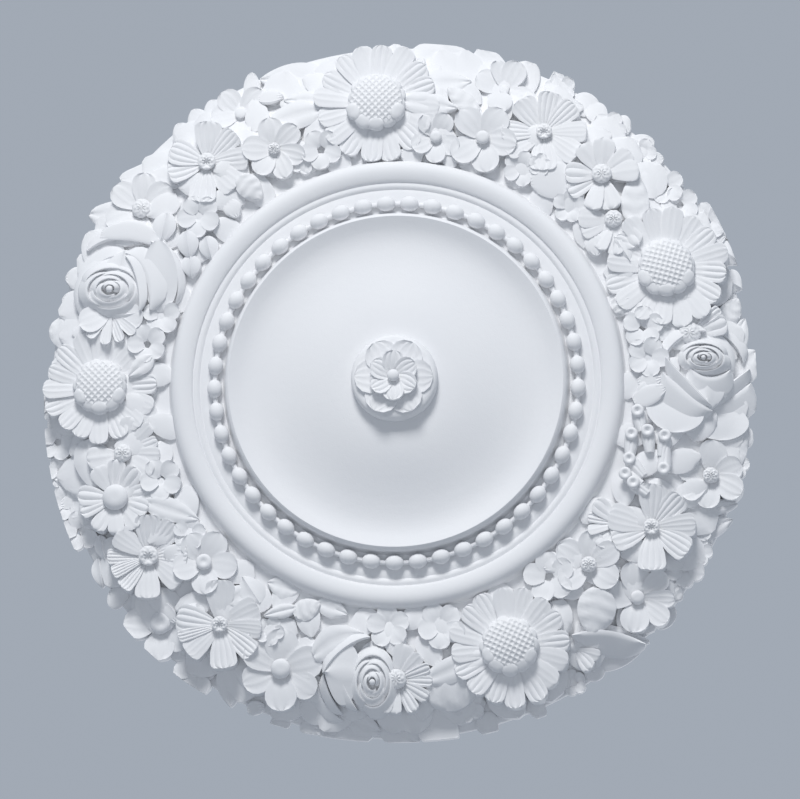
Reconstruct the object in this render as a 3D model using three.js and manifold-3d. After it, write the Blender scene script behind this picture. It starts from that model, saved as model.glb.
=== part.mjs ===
// A cast plaster ceiling rose: a turned centre with a boss, a bead ring and a bold roll,
// inside a broad wreath of sunflowers, roses, open blooms, buds and leaves.
// Millimetres. The rose hangs as it does on a ceiling: its flat back is at z = 0 and faces up,
// and its carved face looks down. The carving is first laid out face up, as on a bench, and the
// finished casting is turned over at the end.
import * as THREE from 'three';
import { mergeVertices } from 'three/addons/utils/BufferGeometryUtils.js';
import Module from 'manifold-3d';

// Driving dimensions.
const PLATE_RADIUS = 342;
const RIM_LIMIT = 358;
const RIM_ZONE = 326;
const EDGE_THICKNESS = 5;
const ROLL_CREST_RADIUS = 213;
const BEAD_RING_RADIUS = 181;
const BEAD_COUNT = 49;
const BEAD_RADIUS = 8;
const BEAD_HEIGHT = 56;
const FIRST_BEAD_ANGLE = -90;
const THREAD_SHARE = 0.3;
const FLATNESS = 0.8;
const BOSS_RADIUS = 42;
const BOSS_HEIGHT = 89;
const TURNED_SEGMENTS = 40;
const DEEP_ROOT = 6;
const SMALL_BLOOM = 27;
const GAP_DEPTH = 4;
const DRAPE = 0.55;

// Height of the wreath's broad swell at a distance from the centre, as [distance, height] knots.
const WREATH_SWELL = [[226, 43], [262, 45], [292, 40], [315, 30], [332, 17], [344, 8], [360, 6]];

// Blooms as [x, y, radius, petals, turn, lift, heart radius, heart height].
// x runs right and y up, the turn is one petal's direction in degrees, and the lift is how far
// the bloom stands above the swell.
const SUNFLOWERS = [
  [-21, 285, 62, 16, 84, 6],
  [271, 119, 62, 16, 84, 7],
  [116, -267, 63, 16, 97, 8],
  [-296, -6, 61, 16, 90, 6],
];
const BLOOMS = [
  [-190, 224, 41, 8, 90, 7, 9, 5],
  [147, 253, 42, 8, 68, 6, 9, 5],
  [257, -145, 42, 8, 90, 8, 9, 5],
  [-249, -178, 39, 8, 90, 8, 9, 5],
  [-176, -246, 43, 8, 90, 8, 9, 5],
  [205, 214, 37, 8, 70, 8, 11, 7],
  [216, 167, 34, 8, 180, 4, 9, 6],
  [298, 52, 35, 9, 90, 4, 10, 6],
  [-274, -70, 36, 8, 10, 3, 10, 6],
  [-291, 66, 32, 9, -90, 8, 8, 2],
  [208, -138, 28, 8, 180, 2, 8, 4],
  [3, -299, 35, 9, -70, 7, 10, 7],
  [-280, -115, 39, 9, 90, 7, 13, 9],
  [-233, -241, 35, 5, 62, 6, 11, 8],
  [-256, 178, 39, 5, 35, 3, 9, 6],
  [-155, 277, 31, 5, 90, 4, 8, 4],
  [-121, 235, 31, 6, 5, 4, 8, 6],
  [37, 251, 24, 5, 65, 4, 6, 6],
  [89, 249, 33, 5, 55, 4, 8, 6],
  [108, 299, 36, 5, 110, 0, 7, 3],
  [-191, -184, 34, 5, 10, 5, 8, 7],
  [-114, -290, 40, 5, 85, 6, 10, 10],
  [194, -182, 36, 5, 90, 5, 9, 8],
  [242, -213, 36, 5, 100, 7, 8, 6],
  [312, -90, 35, 6, 85, 6, 8, 6],
  [-78, 239, 22, 5, 65, 5, 5, 0],
  [-236, 72, 19, 5, 110, 6, 4, 0],
  [-249, 42, 20, 5, 100, 6, 4, 0],
  [244, 58, 19, 5, 100, 5, 4, 0],
  [250, 26, 21, 5, 105, 5, 4, 0],
  [-233, -96, 20, 5, 55, 5, 4, 0],
  [152, -198, 26, 5, 90, 6, 5, 0],
  [43, -248, 25, 5, 80, 5, 5, 0],
  [-6, -245, 22, 5, 30, 5, 4, 0],
  [-201, -287, 20, 5, 90, 5, 4, 0],
  [-315, -152, 21, 5, 70, 4, 4, 0],
  [-336, -52, 19, 5, 90, 6, 4, 0],
  [250, 236, 19, 5, 60, 4, 4, 0],
  [268, 208, 19, 5, 90, 4, 4, 0],
  [304, 164, 20, 5, 80, 5, 4, 0],
  [284, -180, 19, 5, 90, 5, 4, 0],
  [66, -330, 20, 5, 90, 4, 4, 0],
  [212, 268, 23, 5, 70, 3, 4, 0],
];

// Roses as [x, y, radius, lift].
const ROSES = [
  [-288, 94, 32, 16],
  [307, 26, 33, 14],
  [-21, -299, 31, 16],
];

// Leaves and loose petals as [root x, root y, tip x, tip y, width, lift].
const LEAVES = [
  [-74, 276, -146, 256, 30, 6],
  [-80, 306, -142, 308, 40, 2],
  [-222, 242, -282, 206, 40, 1],
  [1, 328, 73, 341, 46, 1],
  [10, 290, 82, 282, 30, 4],
  [88, 324, 136, 308, 54, 0],
  [132, 202, 178, 200, 38, 4],
  [236, 208, 238, 160, 26, 6],
  [-292, -52, -330, -84, 44, 1],
  [-250, -112, -196, -136, 26, 3],
  [-82, -238, -32, -240, 34, 3],
  [180, -246, 218, -210, 32, 8],
  [184, -256, 252, -256, 28, 7],
  [98, -300, 30, -312, 34, 9],
  [-36, -297, -78, -290, 62, 9],
  [34, -318, 58, -362, 40, 4],
  [-92, -320, -22, -340, 60, 2],
  [-150, -292, -186, -310, 48, 2],
  [-226, -262, -262, -252, 40, 1],
  [328, 33, 352, 62, 30, 4],
  [332, 6, 358, 20, 40, 3],
  [332, -22, 352, -54, 42, 2],
  [296, -118, 334, -134, 34, 4],
  [-315, 56, -358, 63, 38, 4],
  [-318, 74, -340, 92, 30, 4],
  [-290, 130, -312, 150, 56, 4],
  [-252, 84, -230, 143, 38, 8],
  [-284, 108, -274, 140, 34, 12],
  [-274, 200, -288, 184, 36, 1],
  [306, -12, 266, 20, 20, 11],
  [306, -12, 348, 16, 20, 11],
  [252, -36, 352, -36, 30, 5],
  [272, -18, 340, -18, 36, 10],
  [-104, 298, -150, 318, 26, 1],
  [150, 296, 168, 316, 36, 0],
];

// Round buds and the little trumpets with open mouths, as [x, y, radius, lift].
const BUDS = [
  [-132, 290, 13, 7], [-186, 162, 13, 4], [-205, 138, 13, 4], [239, -36, 10, 10], [257, -50, 11, 10],
  [233, -86, 12, 10],
];

// Smooth curve through the knots of the swell.
function swell(distance) {
  const last = WREATH_SWELL.length - 1;
  if (distance <= WREATH_SWELL[0][0]) return WREATH_SWELL[0][1];
  if (distance >= WREATH_SWELL[last][0]) return WREATH_SWELL[last][1];
  let knot = 0;
  while (WREATH_SWELL[knot + 1][0] < distance) knot += 1;
  const [nearer, lower] = WREATH_SWELL[knot];
  const [farther, upper] = WREATH_SWELL[knot + 1];
  return THREE.MathUtils.mapLinear(distance, nearer, farther, lower, upper);
}

// A point of the carving in place: bounded by the rim of the mould, and raised on the swell. A
// piece follows the swell only in part and keeps some of the level that the swell has at its
// middle. A root ring lies deep in the casting, or flat on the back plane along the rim.
function placed(x, y, height, root, middle) {
  const distance = Math.hypot(x, y);
  const share = Math.min(1, RIM_LIMIT / distance);
  const level = DRAPE * swell(distance) + (1 - DRAPE) * swell(middle);
  const z = root === undefined ? Math.max(level + height, EDGE_THICKNESS) : root;
  return [x * share, y * share, z];
}

// Where a piece of carving that reaches this far out has its root.
function rootFor(reach) {
  return reach > RIM_ZONE ? 0 : DEEP_ROOT;
}

const wasm = await Module();
wasm.setup();

// A closed geometry becomes a solid that can be joined to others.
function toSolid(geometry) {
  geometry.deleteAttribute('normal');
  geometry.deleteAttribute('uv');
  const merged = mergeVertices(geometry, 1e-4);
  const corners = merged.index.array;
  const triangles = [];
  for (let i = 0; i < corners.length; i += 3) {
    const [a, b, c] = [corners[i], corners[i + 1], corners[i + 2]];
    if (a !== b && b !== c && c !== a) triangles.push(a, b, c);
  }
  const mesh = new wasm.Mesh({
    numProp: 3,
    vertProperties: new Float32Array(merged.attributes.position.array),
    triVerts: new Uint32Array(triangles),
  });
  return new wasm.Manifold(mesh);
}

// Turns a profile of [radius, height] pairs about the upright axis. The shape function may move
// each point, given its share of the full radius, its angle, its height and its ring number.
function turned(profile, segments, shape) {
  const points = profile.map(([radius, height]) => new THREE.Vector2(radius, height));
  const geometry = new THREE.LatheGeometry(points, segments);
  geometry.rotateX(Math.PI / 2);
  const position = geometry.attributes.position;
  if (shape) {
    const rings = profile.length;
    for (let i = 0; i < position.count; i += 1) {
      const ring = i % rings;
      const column = Math.floor(i / rings) % segments;
      const [x, y, z] = shape(profile[ring][0], column, profile[ring][1], ring);
      position.setXYZ(i, x, y, z);
    }
  }
  return toSolid(geometry);
}

// The turned body, from the boss out to the rim and back along the flat underside.
function body() {
  const middle = [
    [0, BOSS_HEIGHT + 5], [BOSS_RADIUS - 5, BOSS_HEIGHT - 2], [BOSS_RADIUS, BOSS_HEIGHT - 8],
    [BOSS_RADIUS + 1, 75], [68, 73], [98, 66], [140, 58], [167, 66], [171, 51], [192, 50], [196, 48],
    [203, 51],
  ];
  const roll = [[204, 46], [208, 57], [ROLL_CREST_RADIUS, 60], [221, 56], [226, 43]];
  const wreath = [292, 330].map((radius) => [radius, swell(radius)]);
  const rim = [[PLATE_RADIUS, EDGE_THICKNESS + 4], [PLATE_RADIUS, 0], [0, 0]];
  return turned([...middle, ...roll, ...wreath, ...rim].reverse(), TURNED_SEGMENTS);
}

// The string of beads in its channel: one ring whose back swells at each bead and narrows to
// the thread between two beads.
function beads() {
  const [inner, outer] = [BEAD_RING_RADIUS - BEAD_RADIUS, BEAD_RING_RADIUS + BEAD_RADIUS];
  const foot = BEAD_HEIGHT - BEAD_RADIUS;
  const profile = [
    [inner, foot], [inner, BEAD_HEIGHT], [BEAD_RING_RADIUS, BEAD_HEIGHT + BEAD_RADIUS],
    [outer, BEAD_HEIGHT], [outer, foot], [inner, foot],
  ];
  const columns = BEAD_COUNT * 2;
  return turned(profile.reverse(), columns, (distance, column, height) => {
    const angle = THREE.MathUtils.degToRad(FIRST_BEAD_ANGLE + (360 * column) / columns);
    const between = column % 2 === 1;
    const narrowed = THREE.MathUtils.lerp(BEAD_RING_RADIUS, distance, THREAD_SHARE);
    const lowered = THREE.MathUtils.lerp(BEAD_HEIGHT, height, THREAD_SHARE) - 1;
    const reach = between ? narrowed : distance;
    const z = between && height > foot ? lowered : height;
    return [reach * Math.cos(angle), reach * Math.sin(angle), z];
  });
}

// An open bloom: a low cushion whose edge goes out to each petal and back into the gap beside it.
function bloom([x, y, radius, petals, turn, lift, heart, rise]) {
  const root = rootFor(Math.hypot(x, y) + radius);
  const small = radius < SMALL_BLOOM;
  const middle = small ? [[0, 2]] : [[0, rise + 3], [heart * 1.3, 1]];
  const profile = [...middle, [radius, 1.5], [radius, root], [0, root]];
  const columns = petals * 2;
  const gapReach = petals > 6 ? 0.82 : 0.72;
  return turned(profile.reverse(), columns, (distance, column, height, ring) => {
    const gap = column % 2 === 1;
    const angle = THREE.MathUtils.degToRad((column * 360) / columns + turn);
    const reach = gap && distance > radius * 0.5 ? distance * gapReach : distance;
    const groove = gap && ring < 3 ? GAP_DEPTH : 0;
    const [px, py] = [x + reach * Math.cos(angle), y + reach * Math.sin(angle)];
    return placed(px, py, lift + height - groove, ring < 2 ? root : undefined, Math.hypot(x, y));
  });
}

// A sunflower: a ring of strap petals round a raised seed head.
function sunflower([x, y, radius, petals, turn, lift]) {
  const root = rootFor(Math.hypot(x, y) + radius);
  const head = radius * 0.48;
  const profile = [
    [0, 15], [head * 0.85, 12], [head * 1.15, 0], [radius, 0], [radius, root], [0, root],
  ];
  const columns = petals * 2;
  return turned(profile.reverse(), columns, (distance, column, height, ring) => {
    const gap = column % 2 === 1;
    const angle = THREE.MathUtils.degToRad((column * 360) / columns + turn);
    const reach = gap && distance > head * 1.2 ? distance * 0.9 : distance;
    const groove = gap && ring < 3 ? GAP_DEPTH : 0;
    const [px, py] = [x + reach * Math.cos(angle), y + reach * Math.sin(angle)];
    return placed(px, py, lift + height - groove, ring < 2 ? root : undefined, Math.hypot(x, y));
  });
}

// A full rose: rounds of petals that lean over one another toward a tight heart.
function rose([x, y, radius, lift]) {
  const columns = 9;
  const profile = [
    [0, 8], [radius * 0.24, 7], [radius * 0.3, 3], [radius * 0.56, 6], [radius * 0.64, 0],
    [radius, -5], [radius * 1.02, DEEP_ROOT], [0, DEEP_ROOT],
  ];
  return turned(profile.reverse(), columns, (distance, column, height, ring) => {
    const angle = ((column + ring * 0.35) * Math.PI * 2) / columns;
    const [px, py] = [x + distance * Math.cos(angle), y + distance * Math.sin(angle)];
    return placed(px, py, lift + height, ring < 2 ? DEEP_ROOT : undefined, Math.hypot(x, y));
  });
}

// A leaf or loose petal: a pointed cushion from its root to its tip with a raised midrib.
function leaf([rootX, rootY, tipX, tipY, width, lift]) {
  const length = Math.hypot(tipX - rootX, tipY - rootY);
  const heading = Math.atan2(tipY - rootY, tipX - rootX);
  const middleX = (rootX + tipX) / 2;
  const middleY = (rootY + tipY) / 2;
  const root = rootFor(Math.max(Math.hypot(tipX, tipY), Math.hypot(middleX, middleY) + width / 2));
  const profile = [[0, 5], [1, -0.5], [1, root], [0, root]];
  const columns = 6;
  return turned(profile.reverse(), columns, (distance, column, height, ring) => {
    const angle = (column * Math.PI * 2) / columns;
    const along = (distance * Math.cos(angle) * length) / 2;
    const across = (distance * Math.sin(angle) * width) / 2;
    const px = middleX + along * Math.cos(heading) - across * Math.sin(heading);
    const py = middleY + along * Math.sin(heading) + across * Math.cos(heading);
    return placed(px, py, lift + height, ring < 2 ? root : undefined, Math.hypot(middleX, middleY));
  });
}

// A bud: a round knob on the swell.
function bud([x, y, radius, lift]) {
  const profile = [[0, radius * 0.6], [radius, 0], [radius, DEEP_ROOT], [0, DEEP_ROOT]];
  const columns = 6;
  return turned(profile.reverse(), columns, (distance, column, height, ring) => {
    const angle = (column * Math.PI * 2) / columns;
    const [px, py] = [x + distance * Math.cos(angle), y + distance * Math.sin(angle)];
    return placed(px, py, lift + height, ring < 2 ? DEEP_ROOT : undefined, Math.hypot(x, y));
  });
}

// The rosette on the boss: an outer and an inner round of six petals.
function rosette() {
  const rounds = [
    { radius: 36, foot: 80, edge: 91, crown: 97, turn: 0 },
    { radius: 23, foot: 85, edge: 98, crown: 103, turn: 30 },
  ];
  return rounds.map(({ radius, foot, edge, crown, turn }) => {
    const profile = [[0, crown], [radius * 0.7, crown], [radius, edge], [radius * 0.95, foot], [0, foot]];
    return turned(profile.reverse(), 18, (distance, column, height) => {
      const part = column % 3;
      const side = [-30, -13, 13][part];
      const angle = THREE.MathUtils.degToRad(Math.floor(column / 3) * 60 + turn + side);
      const reach = part === 0 ? distance * 0.82 : distance;
      return [reach * Math.cos(angle), reach * Math.sin(angle), height];
    });
  });
}

const parts = [
  beads(),
  ...rosette(),
  ...SUNFLOWERS.map(sunflower),
  ...BLOOMS.map(bloom),
  ...ROSES.map(rose),
  ...LEAVES.map(leaf),
  ...BUDS.map(bud),
];

// The casting in one piece, with the smallest steps of its facets evened out.
const casting = parts.reduce((whole, piece) => whole.add(piece), body()).simplify(FLATNESS);

// The joined solid as a mesh in plaster.
function toMesh(solid, name, material) {
  const { vertProperties, triVerts } = solid.getMesh();
  const geometry = new THREE.BufferGeometry();
  geometry.setAttribute('position', new THREE.BufferAttribute(new Float32Array(vertProperties), 3));
  geometry.setIndex(new THREE.BufferAttribute(new Uint32Array(triVerts), 1));
  const mesh = new THREE.Mesh(geometry, material);
  mesh.name = name;
  return mesh;
}

const plaster = new THREE.MeshStandardMaterial({ color: 0xe8e9ec, roughness: 0.85, metalness: 0 });
const ceilingRose = toMesh(casting, 'ceiling_rose', plaster);
ceilingRose.rotation.x = Math.PI;

const group = new THREE.Group();
group.add(ceilingRose);
export default group;
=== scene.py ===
# %% [markdown]
# # A ceiling rose in cast plaster
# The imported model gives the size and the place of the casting. Everything here is the carved
# surface that the mould gives the plaster: a turned centre with mouldings, beads and a rosette,
# and round it a broad wreath of flowers and leaves.

import math

import bpy
import numpy as np
from mathutils import Matrix, Vector


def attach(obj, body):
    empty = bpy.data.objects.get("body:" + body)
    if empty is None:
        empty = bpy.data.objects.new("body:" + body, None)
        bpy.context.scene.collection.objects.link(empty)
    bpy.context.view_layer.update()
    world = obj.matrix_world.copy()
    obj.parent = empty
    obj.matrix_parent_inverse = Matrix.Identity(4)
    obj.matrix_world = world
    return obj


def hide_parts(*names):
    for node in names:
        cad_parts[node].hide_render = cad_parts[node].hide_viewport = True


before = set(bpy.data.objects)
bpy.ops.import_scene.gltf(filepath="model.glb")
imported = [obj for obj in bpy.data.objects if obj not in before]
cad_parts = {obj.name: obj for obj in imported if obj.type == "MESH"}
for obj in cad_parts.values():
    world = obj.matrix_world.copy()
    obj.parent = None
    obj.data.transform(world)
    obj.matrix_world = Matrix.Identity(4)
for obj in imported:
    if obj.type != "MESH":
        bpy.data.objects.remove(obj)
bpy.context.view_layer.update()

# %% [markdown]
# ## The bench
# A mould is carved face up on a bench, and only the finished casting is turned over and lifted to
# the ceiling. The pieces below are laid out in the same way, in millimetres with x to the right, y
# up the picture and z out of the relief. `hang` turns a finished piece over and brings it to metres.
# The carving could be built in its hanging place from the start, but heights are easier to read
# and to check when they are all measured up from one flat bench.

# %% Sizes of the bench
PLATE_RADIUS = 349.5
# The rim of the mould: its half width, how much less high than wide it is, and its roundness,
# where 2 is an oval and more is squarer.
RIM_LIMIT = 356.9
RIM_OVAL = 1.0085
RIM_POWER = 2.12
# Walls go down to the deep root, and to the back where a piece reaches past the rim zone.
RIM_ZONE = 326
DEEP_ROOT = 6
RIM_ROOT = 0.3
ROOT_STEP = 0.04
ROOT_STEPS = 80
EDGE_THICKNESS = 5
# Distance from the centre and height of the swell, and how far its knots are rounded
WREATH_SWELL = [[226, 43], [262, 45], [292, 40], [315, 30], [332, 17], [344, 8], [360, 6]]
KNOT_SOFTNESS = 7


def swell(distance):
    """Height of the wreath's broad swell, with its knots rounded by averaging nearby heights."""
    reaches, heights = zip(*WREATH_SWELL)
    offsets = (-KNOT_SOFTNESS, 0, KNOT_SOFTNESS)
    return sum(np.interp(distance + offset, reaches, heights) for offset in offsets) / len(offsets)


def hang(points):
    """Bench millimetres become metres in the frame, with the carved face down."""
    return points * np.array([1, -1, -1]) / 1000


print("the wreath's swell at 250 mm from the centre is", round(float(swell(250)), 1), "mm high")

# %% [markdown]
# ## Taking up a piece
# Operators act on whatever is selected, so everything is laid down before a piece is taken up.
# What repeats is modelled once. `press` makes a copy with a mesh of its own and moves its points,
# and `join` makes one piece of many.

# %% Helpers for taking up and copying a piece
def deselect():
    """Leaves nothing selected, in object mode."""
    if bpy.context.object and bpy.context.object.mode != "OBJECT":
        bpy.ops.object.mode_set(mode="OBJECT")
    bpy.ops.object.select_all(action="DESELECT")


def points_of(piece):
    """The places of a piece's vertices, one row each."""
    places = np.empty(len(piece.data.vertices) * 3)
    piece.data.vertices.foreach_get("co", places)
    return places.reshape(-1, 3)


def press(master, points):
    """A copy of the master with a mesh of its own, its vertices moved to these points."""
    piece = master.copy()
    piece.data = master.data.copy()
    piece.data.vertices.foreach_set("co", np.asarray(points, float).ravel())
    bpy.context.scene.collection.objects.link(piece)
    return piece


def join(name, pieces):
    """Joins pieces into one object of this name."""
    deselect()
    for piece in pieces:
        piece.select_set(True)
    bpy.context.view_layer.objects.active = pieces[0]
    bpy.ops.object.join()
    whole = bpy.context.object
    whole.name = name
    whole.data.name = name
    return whole


def triangles(piece):
    """How many triangles a piece has."""
    return sum(len(polygon.vertices) - 2 for polygon in piece.data.polygons)


# %% [markdown]
# ## The tongue
# Nearly everything in the wreath is a tongue of plaster: a petal, a leaf, a scale, a fold. One
# flat grid with a wall round its edge and a closed underside is made by hand for each fineness.
# Later cells bend copies of it by formula, as a carver works the same blank into each petal.
# Each could be sculpted on its own instead, but several hundred of them would need that work,
# and neighbours would hardly share the same depth of groove.

# %% The blank tongues
def tongue(name, across, along):
    """A flat grid of two by two units with a wall below its edge and a closed underside."""
    deselect()
    bpy.ops.mesh.primitive_grid_add(x_subdivisions=across, y_subdivisions=along, size=2)
    piece = bpy.context.object
    piece.name = name
    bpy.ops.object.mode_set(mode="EDIT")
    bpy.ops.mesh.select_mode(type="EDGE")
    bpy.ops.mesh.select_all(action="SELECT")
    bpy.ops.mesh.region_to_loop()
    bpy.ops.mesh.extrude_edges_move(TRANSFORM_OT_translate={"value": (0, 0, -1)})
    bpy.ops.mesh.edge_face_add()
    bpy.ops.mesh.select_all(action="SELECT")
    bpy.ops.mesh.normals_make_consistent(inside=False)
    bpy.ops.object.mode_set(mode="OBJECT")
    piece["across"] = across
    return piece


def grid_of(master):
    """The blank's own measures: u from side to side, v from root to tip, and which points are wall."""
    flat = points_of(master)
    return flat[:, 0], (flat[:, 1] + 1) / 2, flat[:, 2] < -0.5


RIBBED_TONGUE = tongue("ribbed_tongue", 13, 6)
STRAP_TONGUE = tongue("strap_tongue", 10, 7)
SMALL_TONGUE = tongue("small_tongue", 7, 6)
LEAF_TONGUE = tongue("leaf_tongue", 8, 14)
FOLD_TONGUE = tongue("fold_tongue", 14, 8)
FILLER_TONGUE = tongue("filler_tongue", 4, 5)
print("a ribbed petal has", triangles(RIBBED_TONGUE), "triangles and a leaf", triangles(LEAF_TONGUE))

# %% [markdown]
# ## Laying a piece in the wreath
# `lay` takes points measured from a flower's own centre, turns and moves them to their place and
# drapes them over the swell, though not fully: a piece keeps some of its own plane, and a whole
# bloom keeps most of it, so that its outer petals stand over the falling edge. Walls go down into
# the casting, or to the back along the rim, and their depth differs a little from piece to piece,
# because undersides in one plane show as black patches. Nothing passes the rim of the mould.

# %% Draping
LEAF_DRAPE = 0.55
BLOOM_DRAPE = 0.35
wreath = []


def lay(points, wall, x, y, turn=0.0, lift=0.0, root=None, whole=True):
    """Bench places of local points, turned in degrees, draped over the swell and bounded by the rim.

    A part of a whole bloom keeps to the level at the bloom's centre, and a loose piece to its own.
    """
    angle = math.radians(turn)
    px = x + points[:, 0] * math.cos(angle) - points[:, 1] * math.sin(angle)
    py = y + points[:, 0] * math.sin(angle) + points[:, 1] * math.cos(angle)
    distance = np.hypot(px, py)
    if root is None:
        root = RIM_ROOT if distance.max() > RIM_ZONE else DEEP_ROOT
    root += ROOT_STEP * (len(wreath) % ROOT_STEPS)
    reach = (np.abs(px) ** RIM_POWER + np.abs(py * RIM_OVAL) ** RIM_POWER) ** (1 / RIM_POWER)
    share = np.minimum(1, RIM_LIMIT / np.maximum(reach, 1))
    middle = math.hypot(x, y) if whole else math.hypot(px.mean(), py.mean())
    drape = BLOOM_DRAPE if whole else LEAF_DRAPE
    ground = drape * swell(distance) + (1 - drape) * float(swell(middle))
    height = np.maximum(ground + lift + points[:, 2], EDGE_THICKNESS)
    height[wall] = root
    return np.column_stack([px * share, py * share, height])


def ease(share):
    """Goes from 0 to 1 with a soft start and end."""
    share = np.clip(share, 0, 1)
    return share * share * (3 - 2 * share)


print("at the rim the swell has fallen to", round(float(swell(RIM_LIMIT)), 1), "mm")

# %% [markdown]
# ## Petals
# A petal widens from a narrow root, is broadest past the middle and ends in a rounded or blunt
# tip. Its face is arched and carries the grooves that the carver drew with a gouge. Every
# third line of the blank is a groove, so flat ribs stand between narrow grooves with few faces.
# The whole shape is a few sums on u and v, and a table holds what sets one flower off from another.

# %% One petal
# waist: width at the root as a share of the greatest width. blunt: 1 for a round tip, more for a
# square one. The rest are heights in millimetres: rib, half the depth of the grooves; crown, the
# arch from side to side; hill, the arch from root to tip; sink and droop, how far the root and the
# tip fall; rise, the slope from root to tip.
PETAL_KINDS = {
    "cosmos": dict(waist=0.34, blunt=2.0, rib=0.65, crown=0.6, hill=1.2, sink=4.0, droop=0.4, rise=5),
    "daisy": dict(waist=0.42, blunt=1.5, rib=0.8, crown=0.8, hill=1.6, sink=3.2, droop=1.0, rise=3),
    "strap": dict(waist=0.74, blunt=1.3, rib=0.7, crown=0.8, hill=1.0, sink=1.5, droop=0.8, rise=5),
    "round": dict(waist=0.46, blunt=1.1, rib=0.4, crown=-0.6, hill=1.4, sink=3.2, droop=0.2, rise=3),
    "cup": dict(waist=0.50, blunt=1.2, rib=0.2, crown=-0.8, hill=1.0, sink=2.4, droop=0.4, rise=1),
    "scale": dict(waist=0.60, blunt=1.2, rib=0.0, crown=1.4, hill=1.8, sink=0.5, droop=1.5, rise=-5),
    "tube": dict(waist=0.65, blunt=3.0, rib=0.5, crown=5.0, hill=0.0, sink=1.0, droop=-1.0, rise=0),
}
TIP_ARC = 0.94
SHOULDERS = (0.35, 0.9)


def petal(master, inner, outer, width, kind, lean=0.0, drawn=1.0):
    """Local points of one petal along x. Lean lifts one side; drawn is how deep its ribs are cut."""
    look = PETAL_KINDS[kind]
    u, v, wall = grid_of(master)
    length = outer - inner
    shoulder = np.clip(1 - width / (2 * length * look["blunt"]), *SHOULDERS)
    swing = np.clip(v * 2 - 1, 0, 1) * TIP_ARC * math.pi / 2
    side = look["waist"] + (1 - look["waist"]) * np.sin(np.clip(v * 2, 0, 1) * math.pi / 2)
    x = inner + length * (shoulder * np.clip(v * 2, 0, 1) + (1 - shoulder) * np.sin(swing))
    y = width / 2 * side * np.cos(swing) ** (1 / look["blunt"]) * u
    groove = np.rint((u + 1) / 2 * master["across"]) % 3 == 2
    z = look["crown"] * (1 - u**4) + look["hill"] * np.sin(math.pi * v * 0.85)
    z -= 2 * drawn * look["rib"] * groove * np.sin(math.pi * np.clip(v, 0.04, 0.9)) ** 0.5
    z -= look["sink"] * (1 - v) ** 3 + look["droop"] * v**4
    z += look["rise"] * (v - 0.4) + lean * u
    return np.column_stack([x, y, z]), wall


daisy_petal = petal(SMALL_TONGUE, 6, 38, 20, "daisy")[0]
print("a daisy petal 32 mm long has", round(float(np.ptp(daisy_petal[:, 2])), 1), "mm of relief")

# %% [markdown]
# ## A whole bloom
# Petals are copied round the heart, one for each direction, and each as wide as its neighbours
# leave room for. Every one is a little longer, lower or more tilted than the last, in the order
# that a seeded random source gives, so that the flower looks carved and not stamped.

# %% Copies round a heart
shake = np.random.default_rng(7)
# How far petals may differ: length, tilt and depth of cut as shares, drop in millimetres, turn in
# degrees. Every other petal lies lower by the overlap step.
LENGTH_SPREAD = 0.04
TILT_SPREAD = 0.8
DROP_SPREAD = 0.6
TURN_SPREAD = 2.0
SHALLOWEST_CUT = 0.3
CUT_SPREAD = 0.8
OVERLAP_STEP = 0.9
WIDEST_AT = 0.70


def whorl(master, x, y, directions, inner, outer, kind, lift, widest, fill=0.98, lean=1.0):
    """Lays a petal for each direction, in degrees. No petal takes more room than the widest angle."""
    for number, direction in enumerate(directions):
        gaps = sorted((other - direction) % 360 for other in directions if other != direction)
        room = math.radians(min(widest, (gaps[0] + 360 - gaps[-1]) / 2))
        length, drop, tilt, swing = shake.uniform(-1, 1, 4)
        reach = outer * (1 + LENGTH_SPREAD * length)
        width = 2 * (inner + WIDEST_AT * (outer - inner)) * math.tan(room / 2) * fill
        drawn = SHALLOWEST_CUT + CUT_SPREAD * abs(swing)
        points, wall = petal(master, inner, reach, width, kind, lean * (1 + TILT_SPREAD * tilt), drawn)
        step = OVERLAP_STEP if number % 2 else 0.0
        heading = direction + TURN_SPREAD * swing
        height = lift + DROP_SPREAD * drop - step
        wreath.append(press(master, lay(points, wall, x, y, heading, height)))


# %% [markdown]
# ## Hearts of the flowers
# The middle of a bloom is a small round knob: bumpy like a berry, smooth, or with a hole pressed
# in. Each starts as a ball whose points are raised or sunk by formula. Only berries need a fine
# ball, so that their bumps stay round.

# %% Hearts
def knob_master(name, segments, rings):
    """A ball to make knobs from."""
    deselect()
    bpy.ops.mesh.primitive_uv_sphere_add(segments=segments, ring_count=rings, radius=1)
    piece = bpy.context.object
    piece.name = name
    return piece


KNOB = knob_master("knob", 24, 12)
BERRY = knob_master("berry", 32, 24)
# rise and hole: shares of the radius. shift: how far the hole lies below the middle.
HEART_KINDS = {
    "berry": dict(rise=0.50, bumps=1.0, hole=0.0, shift=0.0),
    "pitted": dict(rise=0.42, bumps=0.9, hole=0.45, shift=0.30),
    "dome": dict(rise=0.55, bumps=0.0, hole=0.10, shift=0.0),
    "button": dict(rise=0.50, bumps=0.0, hole=0.40, shift=0.0),
    "plain": dict(rise=0.40, bumps=0.0, hole=0.0, shift=0.0),
}
BUMPS_ROUND = 8
BUMP_RINGS = 9.5
HOLE_WIDTH = 0.42


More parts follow.
